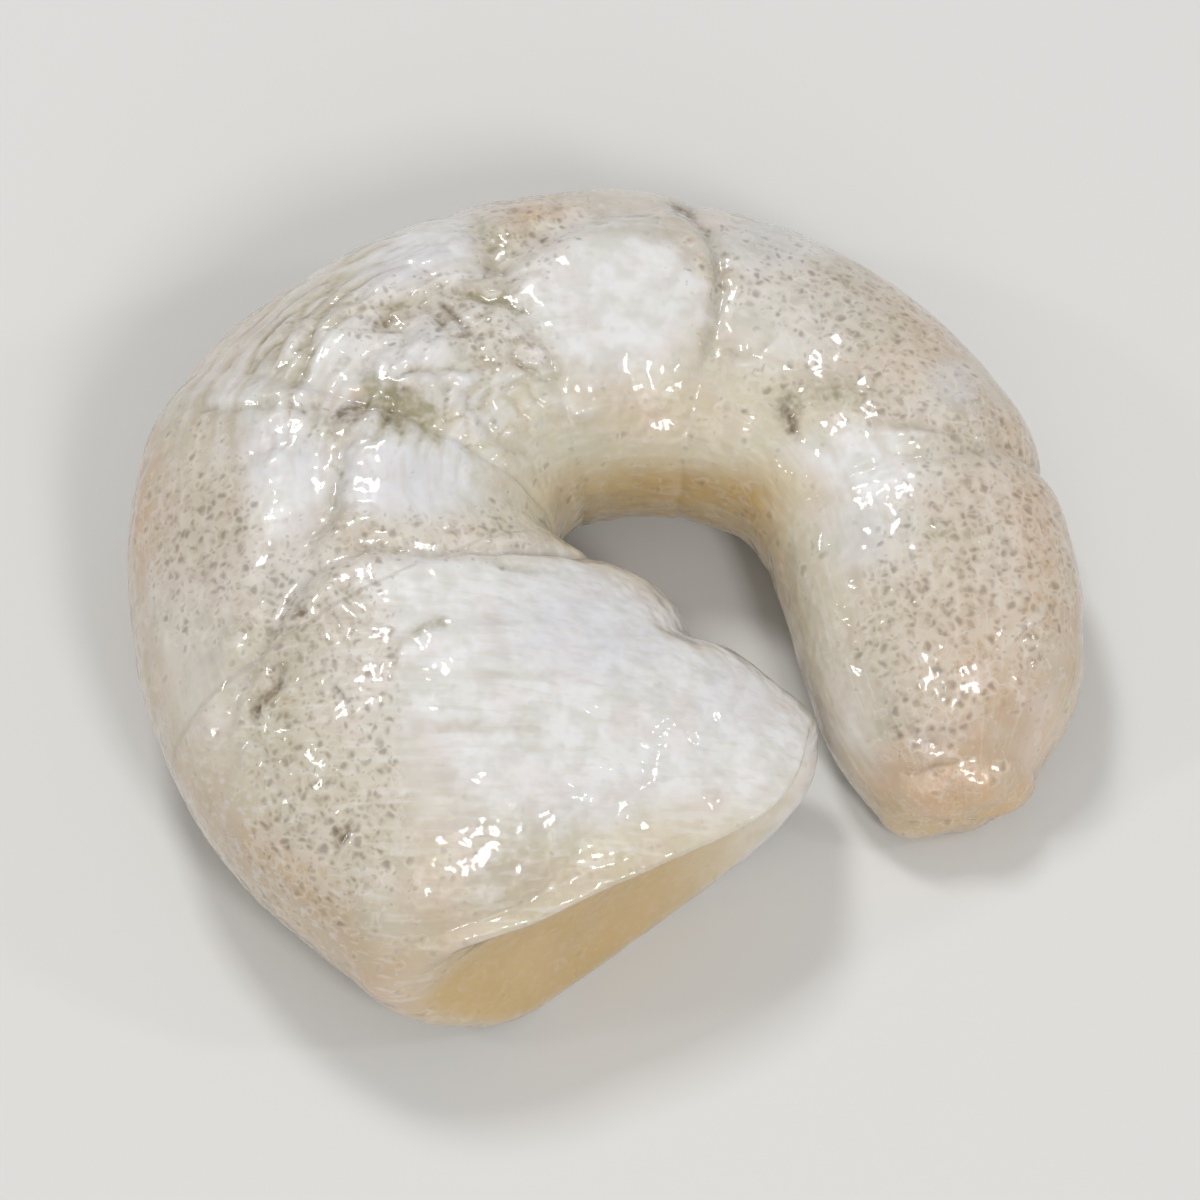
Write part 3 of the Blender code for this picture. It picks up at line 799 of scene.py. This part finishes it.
        # Painted shade in the creases, stronger where they are deeper: dull green, partly over real greenish-brown
        # specks, and less milky white.
        for gap, depth in self.crease_marks():
            tints[OLIVE_AND_SHADE] += 0.5 * depth * bump(gap, 0.35) * self.body
            tints[MILK_AND_SHEEN] *= 1.0 - 0.8 * np.minimum(depth, 0.8) * bump(gap, 0.7)
        tints[MILK_AND_SHEEN] += 0.25 * under * smooth(self.cloud(5.0, 61), 0.0, 0.5)
        # Painted warm glow: clearer yellowish meat underneath and on the inside of the curl.
        tints[CLEAR] += 0.30 * under + 0.35 * smooth(-side, 0.75, 1.0)
        # Painted warm shade: pinkish on the outer rim and underneath.
        tints[PEACH_AND_RIM_SHADE] *= 1.0 - 0.6 * smooth(up, 0.45, 0.10)
        tints[PEACH_AND_RIM_SHADE] += (0.30 * smooth(side, 0.80, 1.0) + 0.15 * under) * (1.0 - self.cut)
        # Painted warm shade: tan on the cut face, growing across it from cream, on the edge above it, deep inside
        # the curl and on the outer rim.
        far = smooth(self.px, *CREAM_TO_WARM_SHADE)
        edge = bump(self.rim_gap, EDGE_REACH) * np.maximum(up, 0.0) * (1.0 - self.cut)
        tints[TAN] += 0.80 * self.cut * (0.25 + 0.75 * far) + 0.22 * edge * far
        tints[TAN] += 0.30 * smooth(-side, 0.85, 1.0) * smooth(self.s, 22.0, 30.0)
        tints[TAN] += 0.16 * smooth(side, 0.85, 1.0) * (1.0 - self.cut)
        # The edge and the cream side of the cut are also clearer meat, and the cut and its edge lose milky white as
        # part of their painted shade.
        tints[CLEAR] += 0.60 * edge + 0.5 * self.cut * (1.0 - far)
        tints[MILK_AND_SHEEN] *= 1.0 - (0.5 + 0.4 * far) * self.cut - 0.45 * edge
        tints[FIBRE] += 0.30 + 0.6 * torn + 0.35 * smooth(self.s, 19.0, 15.0)
        tints[FIBRE] *= 1.0 - 0.8 * self.cut
        tints[SPECK] *= 1.0 - 0.8 * self.cut
        strand = self.strands()
        tints[OLIVE_AND_SHADE] += 0.45 * torn * self.seen * smooth(strand, 0.09, 0.0)
        tints[MILK_AND_SHEEN] += 0.50 * torn * self.seen * smooth(strand, 0.16, 0.34)

    def raise_lumps(self) -> None:
        """Add the lumps, wrinkles and fibres that every part of the skin has."""
        tints = self.tints
        rough = np.clip(0.25 + 0.5 * tints[SPECK] + tints[STAIN] + 0.5 * tints[OLIVE_AND_SHADE], 0.0, 1.2)
        torn = self.torn(TORN_RELIEF, 0.5) * self.seen
        fine = 0.14 * self.cloud(6.5, 4) + 0.08 * self.cloud(2.8, 5) + 0.035 * self.cloud(1.2, 6)
        fine += 0.035 * rough * self.cloud(0.55, 7)
        fibre = lattice_noise(self.grain * (0.16, 1.25, 1.25), 8)
        fine += 0.06 * tints[FIBRE] * fibre
        fine += torn * (0.20 * smooth(self.strands(), 0.0, 0.30) + 0.10 * self.cloud(0.9, 10))
        for gap, depth in self.crease_marks():
            fine -= 0.5 * depth * bump(gap, 0.30)
        self.relief = self.relief + fine * smooth(self.shrink, 0.15, 0.9)


def add_node(tree: bpy.types.NodeTree, kind: str, settings: dict | None = None,
             links: dict | None = None) -> bpy.types.Node:
    """Add a shader node with its settings and links.

    Args:
        tree: the material's nodes.
        kind: the node's type.
        settings: node properties by name, or socket values by index or socket name.
        links: what feeds each input, by index or name.

    Returns:
        The node.
    """
    node = tree.nodes.new(kind)
    for key, value in (settings or {}).items():
        if isinstance(key, str) and hasattr(node, key):
            setattr(node, key, value)
        else:
            node.inputs[key].default_value = value
    for key, source in (links or {}).items():
        tree.links.new(source, node.inputs[key])
    return node


@dataclass(frozen=True)
class RawMeatFinish:
    """Raw prawn meat: pale muscle full of water under a wet film.

    Light goes a few millimetres into it, so it looks milky, and its thin edges look warmer. Warm shade on the rims,
    the cut and the inside of the curl, and a few highlights, are also painted into its colour. Pigment lies in it as
    fine dark specks. The film of water gives small sharp glints.
    """

    light_meat: str = "#D8D0C5"
    meat: str = "#CCC4B6"
    dark_meat: str = "#BFB6A5"
    # milky white, also painted highlight of a few glints and a glare
    milk_and_sheen: str = "#E9E8E6"
    milk_shade: str = "#DFDDD9"
    # violet cast, also painted bluish glare in two places
    lavender_and_glare: str = "#D6D7DD"
    # clearer yellowish meat, also painted warm glow underneath and inside the curl
    clear: str = "#DAD2BA"
    # pinkish meat, also painted warm shade on the rims and the tail's end
    peach_and_rim_shade: str = "#D0AB85"
    # painted warm shade of the cut face, the curl's inside, the outer rims and the tail's end
    tan: str = "#C5A056"
    rosy: str = "#DCC7C3"
    greenish: str = "#CACDB8"
    # vein rests, also painted shade in the creases and one hollow
    olive_and_shade: str = "#938B66"
    stain: str = "#6A5637"
    speck: str = "#786C5E"
    # pale flecks between the specks, partly painted micro glints
    pale_speck_and_glint: str = "#ECE7DC"
    speck_ground: str = "#B7A68C"
    speck_spacing: tuple[float, float] = (0.60, 0.38)     # millimetres between specks, large and small ones
    scatter: tuple[float, float, float] = (2.6, 1.9, 1.2)  # reach of red, green and blue light in it

    def material(self) -> bpy.types.Material:
        """Make the material."""
        material = bpy.data.materials.new("raw_prawn_meat")
        material.use_nodes = True
        tree = material.node_tree
        tree.nodes.clear()
        where = add_node(tree, "ShaderNodeTexCoord")
        place = add_node(tree, "ShaderNodeVectorMath", {"operation": "SCALE", "Scale": 1000.0},
                         {0: where.outputs["Object"]}).outputs[0]
        tint = {t: add_node(tree, "ShaderNodeAttribute", {"attribute_name": t.value}).outputs["Fac"] for t in Tint}
        grain = add_node(tree, "ShaderNodeAttribute", {"attribute_name": "grain"}).outputs["Vector"]

        def calc(operation: str, *inputs: object, clamp: bool = False) -> bpy.types.NodeSocket:
            """A Math node on sockets and numbers."""
            settings = {"operation": operation, "use_clamp": clamp}
            links = {}
            for k, value in enumerate(inputs):
                (links if isinstance(value, bpy.types.NodeSocket) else settings)[k] = value
            return add_node(tree, "ShaderNodeMath", settings, links).outputs[0]

        def rise(value: bpy.types.NodeSocket, low: float, high: float) -> bpy.types.NodeSocket:
            """Rise smoothly from 0 at low to 1 at high."""
            return add_node(tree, "ShaderNodeMapRange", {"interpolation_type": "SMOOTHSTEP", 1: low, 2: high},
                            {0: value}).outputs[0]

        def clouds(size: float, detail: float = 2.0, rough: float = 0.5,
                   coords: bpy.types.NodeSocket | None = None) -> bpy.types.NodeSocket:
            """Noise with lumps of a size in millimetres."""
            return add_node(tree, "ShaderNodeTexNoise", {"Scale": 1.0 / size, "Detail": detail, "Roughness": rough},
                            {"Vector": coords or place}).outputs["Fac"]

        def lay(amount: bpy.types.NodeSocket, under: object, over: object) -> bpy.types.NodeSocket:
            """Lay a colour over another."""
            node = add_node(tree, "ShaderNodeMix", {"data_type": "RGBA"})
            tree.links.new(amount, node.inputs[0])
            for key, value in ((6, under), (7, over)):
                if isinstance(value, str):
                    node.inputs[key].default_value = srgb(value)
                else:
                    tree.links.new(value, node.inputs[key])
            return node.outputs[2]

        flow = add_node(tree, "ShaderNodeMapping", {"Scale": (0.13, 1.0, 1.0)}, {"Vector": grain}).outputs[0]
        fibres = clouds(0.45, 1.0, 0.6, flow)
        lumps = clouds(1.6, 2.0, 0.65)
        broad = clouds(5.0, 1.0, 0.55)

        colour = lay(rise(lumps, 0.35, 0.62), self.dark_meat, self.meat)
        colour = lay(rise(broad, 0.45, 0.70), colour, self.light_meat)
        # Clearer yellowish meat, also painted warm glow underneath and inside the curl.
        colour = lay(calc("MULTIPLY", tint[CLEAR], calc("MULTIPLY_ADD", lumps, 0.5, 0.6), clamp=True),
                     colour, self.clear)
        # Pinkish meat, also painted warm rim shade.
        colour = lay(calc("MULTIPLY", tint[PEACH_AND_RIM_SHADE], calc("MULTIPLY_ADD", lumps, 0.3, 0.65), clamp=True),
                     colour, self.peach_and_rim_shade)
        white = lay(rise(lumps, 0.38, 0.62), self.milk_shade, self.milk_and_sheen)
        # Milky white, also painted highlight of a few glints and a glare.
        colour = lay(calc("MULTIPLY", tint[MILK_AND_SHEEN], calc("MULTIPLY_ADD", lumps, 0.5, 0.7), clamp=True),
                     colour, white)
        # Violet cast, also painted bluish glare in two places.
        colour = lay(calc("MULTIPLY", tint[LAVENDER_AND_GLARE], 0.55, clamp=True), colour, self.lavender_and_glare)
        cast = clouds(2.4, 1.5, 0.5)
        colour = lay(calc("MULTIPLY", rise(cast, 0.50, 0.66), 0.16), colour, self.rosy)
        colour = lay(calc("MULTIPLY", rise(cast, 0.48, 0.34), 0.18), colour, self.greenish)
        # Painted warm shade on the cut, deep in the curl, on the rims and at the tail's end.
        colour = lay(calc("MULTIPLY", tint[TAN], 0.9, clamp=True), colour, self.tan)
        colour = lay(calc("MULTIPLY", tint[SPECK], 0.28, clamp=True), colour, self.speck_ground)
        streaks = calc("MULTIPLY", rise(fibres, 0.52, 0.68), tint[FIBRE])
        colour = lay(calc("MULTIPLY", streaks, 0.45), colour, self.milk_and_sheen)
        shade = calc("MULTIPLY", rise(fibres, 0.46, 0.32), tint[FIBRE])
        colour = lay(calc("MULTIPLY", shade, 0.28), colour, self.dark_meat)

        # Pigment cells: dots of uneven size in the skin, drawn a little coarser than the finest real ones.
        # Between them lie pale flecks, partly painted micro glints.
        wander = add_node(tree, "ShaderNodeTexNoise", {"Scale": 1.7, "Detail": 0.0}, {"Vector": place})
        bent = add_node(tree, "ShaderNodeVectorMath", {"operation": "MULTIPLY_ADD", 1: (0.5, 0.5, 0.5)},
                        {0: wander.outputs["Color"], 2: place}).outputs[0]
        dark_dots = pale_dots_and_glints = None
        for spacing, strength in zip(self.speck_spacing, (1.0, 0.65)):
            cells = add_node(tree, "ShaderNodeTexVoronoi", {"Scale": 1.0 / spacing}, {"Vector": bent})
            chance = add_node(tree, "ShaderNodeSeparateColor", {}, {0: cells.outputs["Color"]})
            there = rise(calc("SUBTRACT", tint[SPECK], chance.outputs[0]), -0.12, 0.25)
            radius = calc("MULTIPLY_ADD", chance.outputs[1], 0.22, 0.11)
            inside = rise(calc("SUBTRACT", radius, cells.outputs["Distance"]), -0.20, 0.14)
            dot = calc("MULTIPLY", calc("MULTIPLY", inside, there), strength)
            dark_dots = dot if dark_dots is None else calc("MAXIMUM", dark_dots, dot)
            around = calc("MULTIPLY", rise(cells.outputs["Distance"], 0.40, 0.62), there)
            pale_dots_and_glints = around if pale_dots_and_glints is None else calc("MAXIMUM", pale_dots_and_glints, calc("MULTIPLY", around, 0.6))
        colour = lay(calc("MULTIPLY", pale_dots_and_glints, 0.30), colour, self.pale_speck_and_glint)
        colour = lay(calc("MULTIPLY", dark_dots, 0.50), colour, self.speck)

        # Rests of the vein: brown in the middle and dull green where thin.
        # That dull green is also painted shade in the creases and in one hollow.
        grit = clouds(0.45, 1.0, 0.65)
        thin = calc("MULTIPLY", tint[OLIVE_AND_SHADE], calc("MULTIPLY_ADD", grit, 1.4, 0.2), clamp=True)
        colour = lay(calc("MULTIPLY", rise(thin, 0.0, 0.9), 0.75), colour, self.olive_and_shade)
        thick = calc("MULTIPLY", tint[STAIN], calc("MULTIPLY_ADD", grit, 1.5, 0.2), clamp=True)
        colour = lay(calc("MULTIPLY", rise(thick, 0.05, 1.0), 0.85), colour, self.stain)

        # Fine wrinkles and fibres of the wet skin, in millimetres.
        fine = clouds(0.55, 0.0)
        height = calc("MULTIPLY_ADD", calc("MULTIPLY", fibres, tint[FIBRE]), 0.07, calc("MULTIPLY", fine, 0.08))
        ripples = calc("MULTIPLY_ADD", fine, 0.05, calc("MULTIPLY", clouds(1.5, 0.0), 0.36))
        skin = add_node(tree, "ShaderNodeBump", {"Strength": 0.8, "Distance": MM}, {"Height": height})
        film = add_node(tree, "ShaderNodeBump", {"Strength": 1.0, "Distance": MM}, {"Height": ripples})

        shader = add_node(tree, "ShaderNodeBsdfPrincipled", {
            "subsurface_method": "RANDOM_WALK", "Roughness": 0.36, "IOR": 1.38, "Subsurface Weight": 0.25,
            "Subsurface Radius": self.scatter, "Subsurface Scale": 0.6 * MM, "Subsurface Anisotropy": 0.3,
            "Coat Weight": 1.0, "Coat Roughness": 0.09, "Coat IOR": 1.42,
        }, {"Base Color": colour, "Normal": skin.outputs[0], "Coat Normal": film.outputs[0]})
        add_node(tree, "ShaderNodeOutputMaterial", {}, {"Surface": shader.outputs[0]})
        return material


@dataclass(frozen=True)
class PaleFloor:
    """A plain pale matt floor."""

    colour: str = "#DDDCD9"
    half: float = 1.5

    def build(self) -> bpy.types.Object:
        """Lay the floor and give it its finish."""
        bm = bmesh.new()
        bmesh.ops.create_grid(bm, x_segments=1, y_segments=1, size=self.half)
        mesh = bpy.data.meshes.new("pale_floor")
        bm.to_mesh(mesh)
        bm.free()
        floor = bpy.data.objects.new("pale_floor", mesh)
        bpy.context.scene.collection.objects.link(floor)
        material = bpy.data.materials.new("matt_white_board")
        material.use_nodes = True
        shader = material.node_tree.nodes["Principled BSDF"]
        shader.inputs["Base Color"].default_value = srgb(self.colour)
        shader.inputs["Roughness"].default_value = 0.65
        mesh.materials.append(material)
        return floor


@dataclass(frozen=True)
class Lamp:
    """An area light that points at the prawn.

    Attributes:
        name: its name.
        place: where it hangs, in metres.
        size: its width and length, in metres.
        watts: its power.
        colour: its colour.
    """

    name: str
    place: tuple[float, float, float]
    size: tuple[float, float]
    watts: float
    colour: str = "#FFFFFF"

    def build(self) -> bpy.types.Object:
        """Hang the light."""
        data = bpy.data.lights.new(self.name, "AREA")
        data.shape = "RECTANGLE"
        data.size, data.size_y = self.size
        data.energy = self.watts
        data.color = srgb(self.colour)[:3]
        lamp = bpy.data.objects.new(self.name, data)
        lamp.location = self.place
        lamp.rotation_euler = (Vector((0, 0, 0.008)) - Vector(self.place)).to_track_quat("-Z", "Y").to_euler()
        lamp.visible_camera = False
        bpy.context.scene.collection.objects.link(lamp)
        return lamp


@dataclass(frozen=True)
class Studio:
    """Soft light from overhead, a pale surround and the camera of the photograph."""

    lamps: tuple[Lamp, ...] = (
        Lamp("overhead_panel", (0.0, 0.06, 0.60), (0.75, 0.75), 0.22),
        Lamp("front_fill", (0.1, -0.6, 0.45), (0.5, 0.4), 0.80),
        Lamp("window_behind", (-0.12, 0.24, 0.46), (0.09, 0.13), 0.88),
        Lamp("window_before", (0.16, -0.34, 0.42), (0.09, 0.12), 0.80),
        Lamp("window_left", (-0.42, -0.06, 0.34), (0.04, 0.06), 0.20),
        Lamp("window_right", (0.42, -0.04, 0.32), (0.04, 0.06), 0.20),
    )
    surround: str = "#ECECEE"
    surround_strength: float = 0.40
    lens: float = 250.0
    sensor: float = 36.0

    def build(self) -> None:
        """Hang the lamps, set the surround and place the camera."""
        for lamp in self.lamps:
            lamp.build()
        world = bpy.data.worlds.new("pale_surround")
        world.use_nodes = True
        background = world.node_tree.nodes["Background"]
        background.inputs[0].default_value = srgb(self.surround)
        background.inputs[1].default_value = self.surround_strength
        scene = bpy.context.scene
        scene.world = world
        scene.view_settings.view_transform = "Standard"
        scene.view_settings.look = "None"
        down = math.radians(VIEW_DOWN)
        height = 8.0
        target = Vector((-PLAN_MIDDLE[0], -height / math.tan(down) - PLAN_MIDDLE[1], height)) * MM
        distance = WINDOW_PX * PIXEL * MM * self.lens / self.sensor
        data = bpy.data.cameras.new("photo_camera")
        data.lens, data.sensor_width = self.lens, self.sensor
        data.clip_start, data.clip_end = 0.01, 20.0
        camera = bpy.data.objects.new("photo_camera", data)
        camera.location = target + distance * Vector((0.0, -math.cos(down), math.sin(down)))
        camera.rotation_euler = (target - camera.location).to_track_quat("-Z", "Y").to_euler()
        scene.collection.objects.link(camera)
        scene.camera = camera


def main() -> None:
    """Build the prawn, the floor, the light and the camera."""
    logging.basicConfig(level=logging.INFO, format="%(name)s: %(message)s")
    prawn = PrawnMeat().build()
    prawn.data.materials.clear()
    prawn.data.materials.append(RawMeatFinish().material())
    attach(prawn, "root")
    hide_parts("prawn_meat")
    LOG.info("%s: %d points", prawn.name, len(prawn.data.vertices))
    floor = PaleFloor().build()
    LOG.info("%s laid", floor.name)
    Studio().build()


if __name__ == "__main__":
    main()
